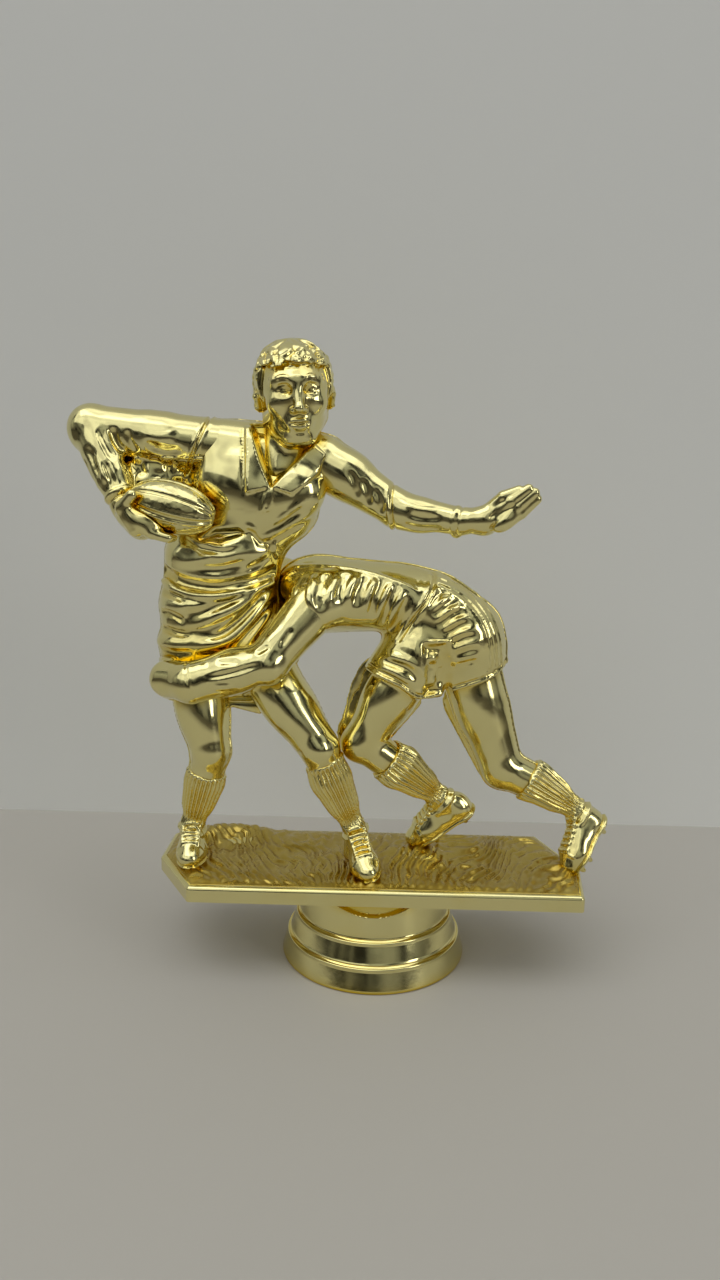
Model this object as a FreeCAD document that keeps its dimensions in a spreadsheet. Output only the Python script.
import FreeCAD, Part
import math
import os

# Rugby tackle trophy topper in gold-plated plastic. A ball carrier with the ball under the right arm
# fends off with the left, while a second player tackles round the hips. Both stand on a turf plate,
# which turns on a stepped round collar until the fixing rod in its hub is pulled tight.
# Millimetres. The origin is the centre of the collar's bottom face, +Z is up, -Y faces the viewer.

DOC = FreeCAD.newDocument("RugbyTackleTopper")
Vector = FreeCAD.Vector
UP = Vector(0, 0, 1)

DIMENSIONS = {
    # collar
    "foot_radius": 20.0,
    "lower_bead_radius": 19.3,
    "upper_bead_radius": 17.1,
    "neck_radius": 15.2,
    "lower_bead_height": 5.2,
    "upper_bead_height": 9.9,
    "collar_height": 17.4,
    "nose_height": 19.4,
    "nose_radius": 13.9,
    "groove_depth": 0.7,
    "groove_rise": 0.8,
    "bead_height": 0.3,
    "neck_step": 1.0,
    "collar_wall": 1.6,
    "sleeve_wall": 1.5,
    "sleeve_bottom": 9.0,
    "slanted_wall": 2.1,
    # plate
    "plate_bottom": 17.1,
    "plate_top": 20.4,
    "skirt_wall": 1.5,
    "plate_skin": 0.8,
    "plate_rounding": 0.9,
    "rib_length": 29.0,
    "rib_spacing": 60.0,
    "tray_gap": 0.3,
    "hub_radius": 7.6,
    "hub_gap": 0.08,
    "hub_bottom": 8.2,
    "nut_across_flats": 10.0,
    "nut_height": 5.0,
    "nut_bottom": 10.6,
    "thread_radius": 2.5,
    "rod_gap": 0.7,
    "rod_room_height": 7.5,
    "retainer_height": 2.0,
    "retainer_radius": 6.4,
    "retainer_hole": 3.3,
    # figures
    "shell_wall": 1.8,
    "joint_swell": 1.03,
    "skull_width": 14.6,
    "skull_depth": 17.2,
    "skull_height": 18.4,
    "jaw_width": 11.0,
    "jaw_depth": 13.6,
    "jaw_height": 12.4,
    "neck_thickness": 9.6,
    "shoulder": 5.4,
    "sleeve_elbow": 4.5,
    "forearm": 3.9,
    "wrist": 2.7,
    "palm": 3.2,
    "grip_elbow": 4.3,
    "grip_wrist": 3.7,
    "grip_palm": 4.2,
    "finger": 1.1,
    "finger_tip": 0.9,
    "armpit_width": 19.0,
    "armpit_depth": 5.0,
    "armpit_height": 13.0,
    "shorts_top": 7.8,
    "shorts_hem": 6.95,
    "carrier_thigh": 6.1,
    "tackler_thigh": 6.8,
    "knee": 4.5,
    "calf": 4.1,
    "ankle": 2.9,
    "boot_heel": 2.8,
    "boot_sole": 2.68,
    "boot_toe": 2.6,
    "ball_length": 17.4,
    "ball_girth": 10.4,
    "peg": 1.2,
}

# Joint positions of the two figures, chosen by hand.
CARRIER = {
    "head": Vector(-17.5, -4.5, 119.9),
    "jaw": Vector(-16.9, -6.8, 114.2),
    "neck_top": Vector(-18.0, -3.2, 114.0),
    "neck_base": Vector(-21.0, -0.8, 104.0),
    "right_shoulder": Vector(-32.5, -1.5, 108.3),
    "right_elbow": Vector(-57.6, -4.5, 111.6),
    "right_wrist": Vector(-49.6, -10.5, 96.0),
    "right_palm": Vector(-44.8, -12.0, 91.0),
    "ball": Vector(-40.2, -12.2, 96.6),
    "left_shoulder": Vector(-11.8, -1.0, 105.8),
    "left_elbow": Vector(3.3, -4.0, 96.6),
    "left_wrist": Vector(15.6, -8.0, 94.6),
    "left_palm": Vector(22.0, -10.4, 95.2),
    "left_fingers": Vector(28.3, -12.3, 99.6),
    "armpit": Vector(-44.0, -3.4, 101.0),
    "right_hip": Vector(-39.0, -0.5, 63.5),
    "right_hem": Vector(-36.8, -1.3, 60.2),
    "right_knee": Vector(-35.0, -4.0, 45.7),
    "right_calf": Vector(-36.7, -2.6, 38.5),
    "right_ankle": Vector(-40.2, -1.5, 28.2),
    "right_heel": Vector(-40.5, 0.8, 22.9),
    "right_toe": Vector(-40.0, -6.6, 22.6),
    "left_hip": Vector(-25.4, -1.0, 65.0),
    "left_hem": Vector(-22.2, -2.2, 61.0),
    "left_knee": Vector(-12.0, -6.4, 47.6),
    "left_calf": Vector(-9.6, -5.6, 40.6),
    "left_ankle": Vector(-4.4, -4.6, 29.4),
    "left_heel": Vector(-3.4, -3.0, 22.9),
    "left_toe": Vector(-1.4, -11.2, 22.6),
}
TACKLER = {
    "head": Vector(-21.5, 11.0, 78.0),
    "jaw": Vector(-25.0, 11.6, 74.4),
    "neck_top": Vector(-18.5, 8.2, 78.0),
    "neck_base": Vector(-11.0, 3.5, 78.0),
    "near_shoulder": Vector(-13.2, -5.5, 77.0),
    "near_elbow": Vector(-22.4, -11.2, 66.2),
    "near_wrist": Vector(-37.2, -11.4, 61.9),
    "near_palm": Vector(-42.6, -7.8, 61.8),
    "far_shoulder": Vector(-12.4, 8.0, 76.4),
    "far_elbow": Vector(-23.4, 13.4, 66.0),
    "far_wrist": Vector(-37.6, 11.2, 62.2),
    "far_palm": Vector(-42.6, 7.4, 61.4),
    "front_hip": Vector(8.1, -1.3, 67.2),
    "front_hem": Vector(3.0, -2.2, 60.0),
    "front_knee": Vector(-3.1, -2.0, 47.7),
    "front_calf": Vector(4.4, -1.0, 42.0),
    "front_ankle": Vector(14.4, 1.8, 34.2),
    "front_heel": Vector(18.3, 3.0, 31.4),
    "front_toe": Vector(9.4, 3.0, 24.9),
    "rear_hip": Vector(18.6, 4.0, 66.0),
    "rear_hem": Vector(20.8, 3.4, 59.0),
    "rear_knee": Vector(27.2, 2.0, 41.6),
    "rear_calf": Vector(33.8, 1.6, 38.6),
    "rear_ankle": Vector(44.4, 0.2, 32.4),
    "rear_heel": Vector(46.9, 0.0, 29.8),
    "rear_toe": Vector(42.0, -4.2, 22.4),
}

# Trunk sections from the bottom up: centre, half-width, half-depth, and the lean of the section in degrees.
CARRIER_TRUNK = (
    (Vector(-32.6, -0.4, 59.0), 10.6, 7.4, 0),
    (Vector(-33.2, -0.4, 66.0), 13.2, 9.0, 2),
    (Vector(-33.8, -0.6, 76.0), 12.8, 8.8, 5),
    (Vector(-32.6, -0.6, 86.0), 12.6, 8.4, 14),
    (Vector(-25.6, -0.6, 97.0), 13.0, 8.8, 16),
    (Vector(-21.4, -1.0, 105.6), 11.4, 6.6, 10),
)
TACKLER_TRUNK = (
    (Vector(18.6, 2.4, 60.6), 8.0, 8.4, 180),
    (Vector(17.8, 2.2, 67.4), 9.4, 9.7, 162),
    (Vector(13.4, 2.0, 73.4), 9.2, 9.5, 128),
    (Vector(5.4, 1.8, 77.2), 7.8, 8.8, 100),
    (Vector(-5.6, 1.4, 78.8), 7.8, 10.0, 88),
    (Vector(-15.0, 1.2, 77.0), 7.2, 9.6, 84),
)
# Outline of the parting surface of each figure, seen from the side, from the bottom up: y and z.
CARRIER_PARTING = ((-4.6, 10.0), (-3.0, 28.0), (-5.0, 46.0), (-1.0, 62.0), (-1.0, 140.0))
TACKLER_PARTING = ((1.0, 10.0), (1.0, 140.0))
# Corners of the turf plate, anticlockwise from the front left.
PLATE_CORNERS = (
    (-38.0, -16.0),
    (42.6, -16.0),
    (44.6, -2.0),
    (38.0, 15.5),
    (-43.6, 15.5),
    (-47.0, 11.5),
    (-47.0, -1.0),
)
# Raised turf: centre, and half-sizes along x, y and z.
MOUNDS = (
    (Vector(10.0, 1.0, 20.0), 7.0, 6.0, 2.8),
    (Vector(40.0, -4.0, 19.6), 3.6, 5.0, 1.8),
    (Vector(-31.0, 9.0, 19.4), 10.0, 5.5, 2.4),
    (Vector(24.0, 5.0, 19.6), 9.0, 5.0, 1.6),
)
PEGS = {
    "carrier_right_peg": Vector(-40.2, -6.6, 19.8),
    "carrier_left_peg": Vector(-2.0, -9.0, 19.8),
    "tackler_front_peg": Vector(9.6, 3.2, 19.8),
    "tackler_rear_peg": Vector(41.2, -4.2, 19.8),
}
PEG_LENGTH = 3.4
RIB_FRONT = -14.8
HALF_SPACE = 90.0
FINGER_SPREAD = (-2.6, -0.9, 0.9, 2.6)
# Driving radii along each arm: shoulder, elbow, wrist and palm.
OPEN_ARM = ("shoulder", "sleeve_elbow", "wrist", "palm")
GRIPPING_ARM = ("shoulder", "grip_elbow", "grip_wrist", "grip_palm")


def make_sheet():
    """The driving dimensions, one aliased cell each."""
    sheet = DOC.addObject("Spreadsheet::Sheet", "dims")
    for row, (alias, value) in enumerate(DIMENSIONS.items(), start=1):
        sheet.set(f"A{row}", alias)
        sheet.set(f"B{row}", str(value))
        sheet.setAlias(f"B{row}", alias)
    DOC.recompute()
    return sheet


SHEET = make_sheet()


def size(alias):
    """The value of one driving dimension."""
    return float(SHEET.get(alias))


def ball(name, centre, radius):
    """A sphere whose radius is an expression of the sheet."""
    sphere = DOC.addObject("Part::Sphere", name)
    sphere.setExpression("Radius", radius)
    sphere.Placement.Base = centre
    return sphere


def taper(name, start, end, start_radius, end_radius):
    """A tapered length of limb between two joints."""
    axis = end - start
    cone = DOC.addObject("Part::Cone", name)
    cone.setExpression("Radius1", start_radius)
    cone.setExpression("Radius2", end_radius)
    cone.Height = axis.Length
    cone.Placement = FreeCAD.Placement(start, FreeCAD.Rotation(UP, axis))
    return cone


def cylinder(name, base, radius, height):
    """An upright cylinder whose radius and height are expressions of the sheet."""
    rod = DOC.addObject("Part::Cylinder", name)
    rod.setExpression("Radius", radius)
    rod.setExpression("Height", height)
    rod.Placement.Base = base
    return rod


def egg(name, centre, along_x, along_y, along_z, tilt=0.0, turn=0.0):
    """An ellipsoid, given by the expressions of its three half-sizes, tilted about Y and turned about Z."""
    solid = DOC.addObject("Part::Ellipsoid", name)
    solid.Angle1 = -90
    solid.setExpression("Radius1", along_z)
    solid.setExpression("Radius2", along_x)
    solid.setExpression("Radius3", along_y)
    solid.Placement = FreeCAD.Placement(centre, FreeCAD.Rotation(turn, tilt, 0))
    return solid


def fuse(name, pieces):
    """One solid from several overlapping ones."""
    joined = DOC.addObject("Part::MultiFuse", name)
    joined.Shapes = pieces
    return joined


def cut(name, base, *tools):
    """The base with each tool taken out of it in turn."""
    for number, tool in enumerate(tools, start=1):
        result = DOC.addObject("Part::Cut", name if number == len(tools) else f"{name}_cut{number}")
        result.Base = base
        result.Tool = tool
        base = result
    return base


def common(name, base, tool):
    """What two solids share."""
    shared = DOC.addObject("Part::Common", name)
    shared.Base = base
    shared.Tool = tool
    return shared


def limb(figure, name, joints, radii):
    """A chain of tapered lengths with a slightly larger ball at each joint."""
    pieces = []
    for number, joint in enumerate(joints):
        label = f"{name}_{joint}"
        pieces.append(ball(f"{label}_joint", figure[joint], f"dims.{radii[number]} * dims.joint_swell"))
        if number:
            start = figure[joints[number - 1]]
            ends = (f"dims.{radii[number - 1]}", f"dims.{radii[number]} * 0.999")
            pieces.append(taper(label, start, figure[joint], *ends))
    return pieces


def trunk(name, sections, inset=""):
    """A loft through leaning ellipses, drawn in by the inset."""
    outlines = []
    for number, (centre, half_width, half_depth, lean) in enumerate(sections):
        outline = DOC.addObject("Part::Ellipse", f"{name}_section{number}")
        outline.setExpression("MajorRadius", f"{max(half_width, half_depth)}{inset}")
        outline.setExpression("MinorRadius", f"{min(half_width, half_depth)}{inset}")
        quarter = FreeCAD.Rotation(UP, 0 if half_width > half_depth else 90)
        outline.Placement = FreeCAD.Placement(centre, FreeCAD.Rotation(Vector(0, 1, 0), lean) * quarter)
        outlines.append(outline)
    loft = DOC.addObject("Part::Loft", name)
    loft.Sections = outlines
    loft.Solid = True
    return loft


def origin_plane(body, role):
    """One of a body's own origin planes."""
    return next(plane for plane in body.Origin.OriginFeatures if plane.Role == role)


def profile_body(label, points):
    """A body turned about +Z from a closed outline of (radius, height) points."""
    body = DOC.addObject("PartDesign::Body", label)
    sketch = body.newObject("Sketcher::SketchObject", f"{label}_profile")
    sketch.AttachmentSupport = [(origin_plane(body, "XZ_Plane"), "")]
    sketch.MapMode = "FlatFace"
    for number, point in enumerate(points):
        after = points[(number + 1) % len(points)]
        sketch.addGeometry(Part.LineSegment(Vector(*point, 0), Vector(*after, 0)), False)
    turned = body.newObject("PartDesign::Revolution", f"{label}_turned")
    turned.Profile = sketch
    turned.ReferenceAxis = (sketch, ["V_Axis"])
    turned.Angle = 360
    body.Tip = turned
    return body


def tier(bottom_radius, bottom, top_radius, top):
    """One tier of the collar, with a sunken groove above it."""
    depth = size("groove_depth")
    rise = size("groove_rise")
    return [(bottom_radius, bottom), (top_radius, top - rise), (top_radius - depth, top - rise / 2),
            (top_radius - depth / 3, top)]


def make_collar():
    """The stepped riser: three tiers, a conical nose, and a sleeve that the hub turns in."""
    wall = size("collar_wall")
    bore = size("hub_radius") + size("hub_gap")
    sleeve = bore + size("sleeve_wall")
    outline = tier(size("foot_radius"), 0.0, size("lower_bead_radius"), size("lower_bead_height"))
    outline += tier(size("lower_bead_radius"), size("lower_bead_height") + size("bead_height"),
                    size("upper_bead_radius"), size("upper_bead_height"))
    neck_foot = size("upper_bead_height") + size("bead_height")
    outline += [
        (size("upper_bead_radius"), neck_foot),
        (size("upper_bead_radius") - size("neck_step"), neck_foot + size("bead_height")),
        (size("neck_radius"), size("collar_height")),
        (size("nose_radius"), size("nose_height")),
        (bore, size("nose_height")),
        (bore, size("sleeve_bottom")),
        (sleeve, size("sleeve_bottom")),
        (sleeve, size("nose_height") - wall),
        (size("nose_radius") - wall, size("nose_height") - wall),
        (size("neck_radius") - size("slanted_wall"), size("collar_height") - wall),
        (size("foot_radius") - size("slanted_wall"), 0.0),
    ]
    return profile_body("collar", outline)


def prism(label, corners, bottom, height):
    """An upright prism on a closed outline of corners."""
    body = DOC.addObject("PartDesign::Body", label)
    sketch = body.newObject("Sketcher::SketchObject", f"{label}_outline")
    sketch.AttachmentSupport = [(origin_plane(body, "XY_Plane"), "")]
    sketch.MapMode = "FlatFace"
    sketch.AttachmentOffset = FreeCAD.Placement(Vector(0, 0, bottom), FreeCAD.Rotation())
    for number, corner in enumerate(corners):
        after = corners[(number + 1) % len(corners)]
        sketch.addGeometry(Part.LineSegment(Vector(*corner, 0), Vector(*after, 0)), False)
    pad = body.newObject("PartDesign::Pad", f"{label}_pad")
    pad.Profile = sketch
    pad.setExpression("Length", height)
    body.Tip = pad
    return body


def inset_corners(corners, distance):
    """The outline drawn in by the distance all round."""
    outline = Part.makePolygon([Vector(*corner, 0) for corner in corners + corners[:1]])
    inner = Part.Face(outline).makeOffset2D(-distance, join=2)
    return [(vertex.X, vertex.Y) for vertex in inner.OuterWire.OrderedVertexes]


def hexagon(across_flats):
    """The six corners of a nut, on the Z axis."""
    radius = across_flats / math.sqrt(3)
    return [(radius * math.cos(math.radians(turn)), radius * math.sin(math.radians(turn)))
            for turn in range(0, 360, 60)]


def make_plate(bodies):
    """The turf plate: rounded slab, open tray, hub with a nut pocket, and the figures' footprints."""
    bottom = size("plate_bottom")
    slab = prism("plate_slab", PLATE_CORNERS, bottom, "dims.plate_top - dims.plate_bottom")
    DOC.recompute()
    pad = slab.Tip
    rim_edges = [f"Edge{number}" for number, edge in enumerate(pad.Shape.Edges, start=1)
                 if edge.BoundBox.ZMax > size("plate_top") - 0.01]
    rounding = slab.newObject("PartDesign::Fillet", "plate_rounding")
    rounding.Base = (pad, rim_edges)
    rounding.setExpression("Radius", "dims.plate_rounding")
    slab.Tip = rounding
    tray = prism("plate_tray", inset_corners(PLATE_CORNERS, size("skirt_wall")), bottom - 1,
                 "dims.plate_top - dims.plate_bottom - dims.plate_skin + 1")
    gap = size("tray_gap")
    below = 2 * gap
    slope = (size("neck_radius") - size("nose_radius")) / (size("nose_height") - size("collar_height"))
    nose_room = profile_body("plate_nose_room", [
        (0, bottom - below),
        (size("neck_radius") + gap + slope * (size("collar_height") - bottom + below), bottom - below),
        (size("nose_radius") + gap, size("nose_height")),
        (size("nose_radius") + gap, size("plate_top") - size("plate_skin")),
        (0, size("plate_top") - size("plate_skin")),
    ])
    ribs = []
    for number, side in enumerate((-0.5, 0.5)):
        rib = DOC.addObject("Part::Box", f"plate_rib{number}")
        rib.setExpression("Length", "dims.skirt_wall")
        rib.setExpression("Width", "dims.rib_length")
        rib.setExpression("Height", "dims.plate_top - dims.plate_bottom - dims.plate_skin")
        rib.Placement.Base = Vector(side * size("rib_spacing"), RIB_FRONT, bottom + size("tray_gap"))
        ribs.append(rib)
    mounds = [egg(f"mound{number}", centre, *[str(half) for half in halves])
              for number, (centre, *halves) in enumerate(MOUNDS)]
    solid_slab = fuse("plate_with_mounds", [slab] + mounds)
    hollow_slab = cut("plate_hollow", solid_slab, tray, nose_room)
    hub = cylinder("hub_tube", Vector(0, 0, size("hub_bottom")), "dims.hub_radius",
                   "dims.plate_top - dims.hub_bottom - dims.plate_skin / 2")
    whole = fuse("plate_whole", [hollow_slab, hub] + ribs)
    seat = size("nut_bottom")
    nut_room = prism("nut_room", hexagon(size("nut_across_flats")), seat, "dims.nut_height")
    retainer_room = cylinder("retainer_room", Vector(0, 0, size("hub_bottom") - 1), "dims.retainer_radius",
                             "dims.nut_bottom - dims.hub_bottom + 1")
    rod_room = cylinder("rod_room", Vector(0, 0, seat), "dims.thread_radius + dims.rod_gap",
                        "dims.rod_room_height")
    return cut("turf_plate", whole, nut_room, retainer_room, rod_room, *bodies)


def make_nut():
    """The M6 nut in the hub."""
    blank = prism("nut_blank", hexagon(size("nut_across_flats")), size("nut_bottom"), "dims.nut_height")
    thread = cylinder("nut_thread", Vector(0, 0, size("nut_bottom") - 1), "dims.thread_radius",
                      "dims.nut_height + 2")
    return cut("hub_nut", blank, thread)


def make_retainer():
    """The ring that holds the nut up in its pocket."""
    base = Vector(0, 0, size("nut_bottom") - size("retainer_height"))
    ring = cylinder("retainer_blank", base, "dims.retainer_radius", "dims.retainer_height")
    hole = cylinder("retainer_hole_tool", base - UP, "dims.retainer_hole", "dims.retainer_height + 2")
    return cut("nut_retainer", ring, hole)


def make_head(prefix, figure, tilt, turn, *neighbours):
    """Skull, jaw and neck, trimmed to the pieces that they meet."""
    skull = egg(f"{prefix}_skull", figure["head"], "dims.skull_width / 2", "dims.skull_depth / 2",
                "dims.skull_height / 2", tilt, turn)
    jaw = egg(f"{prefix}_jaw", figure["jaw"], "dims.jaw_width / 2", "dims.jaw_depth / 2",
              "dims.jaw_height / 2", tilt, turn)
    neck = taper(f"{prefix}_neck", figure["neck_top"], figure["neck_base"], "dims.neck_thickness / 2",
                 "dims.neck_thickness / 2 - 0.4")
    blank = fuse(f"{prefix}_head_blank", [skull, jaw, neck])
    return cut(f"{prefix}_head", blank, *neighbours)


def make_leg(prefix, figure, side):
    """Shorts leg, thigh, knee, sock and boot."""
    shorts = limb(figure, f"{prefix}_{side}_shorts", (f"{side}_hip", f"{side}_hem"), ("shorts_top", "shorts_hem"))
    chain = [f"{side}_{joint}" for joint in ("hip", "knee", "calf", "ankle", "heel")]
    leg = limb(figure, f"{prefix}_{side}_leg", chain, (f"{prefix}_thigh", "knee", "calf", "ankle", "boot_heel"))
    boot = limb(figure, f"{prefix}_{side}_boot", (f"{side}_heel", f"{side}_toe"), ("boot_sole", "boot_toe"))
    instep = taper(f"{prefix}_{side}_instep", figure[f"{side}_ankle"], figure[f"{side}_toe"],
                   "dims.ankle * 0.9", "dims.boot_toe * 0.9")
    return shorts + leg + boot[1:] + [instep]


def make_figure(prefix, figure, sections, sides, shoulders):
    """One player's trunk, shoulders and legs, solid, and the hollow inside the trunk."""
    pieces = [trunk(f"{prefix}_trunk", sections)]
    for shoulder in shoulders:
        pieces.append(ball(f"{prefix}_{shoulder}_cap", figure[shoulder], "dims.shoulder * 1.08"))
    pieces.append(taper(f"{prefix}_yoke", figure[shoulders[0]], figure[shoulders[1]],
                        "dims.shoulder * 0.98", "dims.shoulder * 0.93"))
    for side in sides:
        pieces += make_leg(prefix, figure, side)
    pegs = [cylinder(name, base, "dims.peg", str(PEG_LENGTH)) for name, base in PEGS.items()
            if name.startswith(prefix)]
    solid = fuse(f"{prefix}_solid", pieces + pegs)
    hollow = trunk(f"{prefix}_hollow", sections[1:-1], " - dims.shell_wall")
    return solid, hollow


def front_space(prefix, outline):
    """Everything in front of a figure's parting surface."""
    corners = [Vector(-HALF_SPACE, y, z) for y, z in outline]
    corners += [Vector(-HALF_SPACE, -HALF_SPACE, outline[-1][1]), Vector(-HALF_SPACE, -HALF_SPACE, outline[0][1])]
    wire = DOC.addObject("Part::Polygon", f"{prefix}_parting_outline")
    wire.Nodes = corners
    wire.Close = True
    space = DOC.addObject("Part::Extrusion", f"{prefix}_front_space")
    space.Base = wire
    space.DirMode = "Custom"
    space.Dir = Vector(1, 0, 0)
    space.LengthFwd = 2 * HALF_SPACE
    space.Solid = True
    return space


def make_hand(name, start, end, radii, fingers, across):
    """Palm between the wrist and its far end, with four fingers where the hand is open."""
    palm_piece = taper(f"{name}_palm", start, end, *radii)
    pieces = [palm_piece, ball(f"{name}_palm_end", end, f"{radii[1]} * 0.95")]
    if fingers:
        for number, offset in enumerate(FINGER_SPREAD, start=1):
            root = end + across * offset
            tip = fingers + across * offset
            pieces.append(taper(f"{name}_finger{number}", root, tip, "dims.finger", "dims.finger_tip"))
            pieces.append(ball(f"{name}_finger{number}_tip", tip, "dims.finger_tip * dims.joint_swell"))
    return pieces


def make_arm(name, figure, prefix, *neighbours, radii=OPEN_ARM, extra=(), fingers=None, across=UP):
    """Sleeve, forearm and hand, trimmed to the pieces that they meet."""
    shoulder, elbow, wrist, palm = radii
    chain = [f"{prefix}_{joint}" for joint in ("shoulder", "elbow", "wrist")]
    sleeve = limb(figure, name, chain, (shoulder, elbow, wrist))
    hand = make_hand(name, figure[f"{prefix}_wrist"], figure[f"{prefix}_palm"],
                     (f"dims.{wrist}", f"dims.{palm}"), fingers, across)
    return cut(name, fuse(f"{name}_blank", sleeve + hand + list(extra)), *neighbours)


def check_and_write(nodes):
    """Every object is sound and every piece is one or more valid solids, then each is written."""
    failed = [item.Name for item in DOC.Objects if {"Invalid", "Error"} & set(item.State)]
    if failed:
        raise RuntimeError(f"failed objects: {failed}")
    for label, node in nodes.items():
        shape = node.Shape
        if shape.isNull() or not shape.isValid() or not shape.Solids:
            raise RuntimeError(f"{label} has no valid shape")
    os.makedirs("parts", exist_ok=True)
    for label, node in nodes.items():
        node.Label = label
        node.Shape.exportStep(f"parts/{label}.step")
        bounds = node.Shape.BoundBox
        print(f"{label}: {len(node.Shape.Solids)} solids, {node.Shape.Volume:.0f} mm3, "
              f"z {bounds.ZMin:.1f} to {bounds.ZMax:.1f}")


def main():
    """Build every sub-part in order, each trimmed to the ones it meets."""
    collar = make_collar()
    game_ball = egg("rugby_ball", CARRIER["ball"], "dims.ball_length / 2", "dims.ball_girth / 2",
                    "dims.ball_girth / 2 * 0.995", 15)
    carrier_solid, carrier_hollow = make_figure("carrier", CARRIER, CARRIER_TRUNK, ("right", "left"),
                                                ("right_shoulder", "left_shoulder"))
    carrier_outer = cut("carrier_outer", carrier_solid, game_ball)
    tackler_solid, tackler_hollow = make_figure("tackler", TACKLER, TACKLER_TRUNK, ("front", "rear"),
                                                ("near_shoulder", "far_shoulder"))
    tackler_outer = cut("tackler_outer", tackler_solid, carrier_outer)
    carrier_shell = cut("carrier_shell", carrier_outer, carrier_hollow)
    tackler_shell = cut("tackler_shell", tackler_outer, tackler_hollow)
    nodes = {"collar": collar}
    for prefix, shell, outline in (("carrier", carrier_shell, CARRIER_PARTING),
                                   ("tackler", tackler_shell, TACKLER_PARTING)):
        space = front_space(prefix, outline)
        nodes[f"{prefix}_front_shell"] = common(f"{prefix}_front_shell", shell, space)
        nodes[f"{prefix}_back_shell"] = cut(f"{prefix}_back_shell", shell, space)
    nodes["turf_plate"] = make_plate((carrier_outer, tackler_outer))
    nodes["hub_nut"] = make_nut()
    nodes["nut_retainer"] = make_retainer()
    nodes["carrier_head"] = make_head("carrier", CARRIER, 0, 0, carrier_outer)
    nodes["rugby_ball"] = game_ball
    armpit = egg("carrier_armpit", CARRIER["armpit"], "dims.armpit_width / 2", "dims.armpit_depth / 2",
                 "dims.armpit_height / 2", 0, 20)
    nodes["carrier_ball_arm"] = make_arm("carrier_ball_arm", CARRIER, "right", carrier_outer, game_ball,
                                         extra=[armpit])
    nodes["carrier_fend_arm"] = make_arm("carrier_fend_arm", CARRIER, "left", carrier_outer,
                                         fingers=CARRIER["left_fingers"], across=Vector(-0.5, 0.3, 0.8))
    tackler_head = make_head("tackler", TACKLER, 0, 0, carrier_outer, tackler_outer)
    nodes["tackler_head"] = tackler_head
    nodes["tackler_near_arm"] = make_arm("tackler_near_arm", TACKLER, "near", carrier_outer, tackler_outer,
                                         radii=GRIPPING_ARM)
    nodes["tackler_far_arm"] = make_arm("tackler_far_arm", TACKLER, "far", carrier_outer, tackler_outer,
                                        tackler_head, radii=GRIPPING_ARM)
    DOC.recompute()
    check_and_write(nodes)


main()
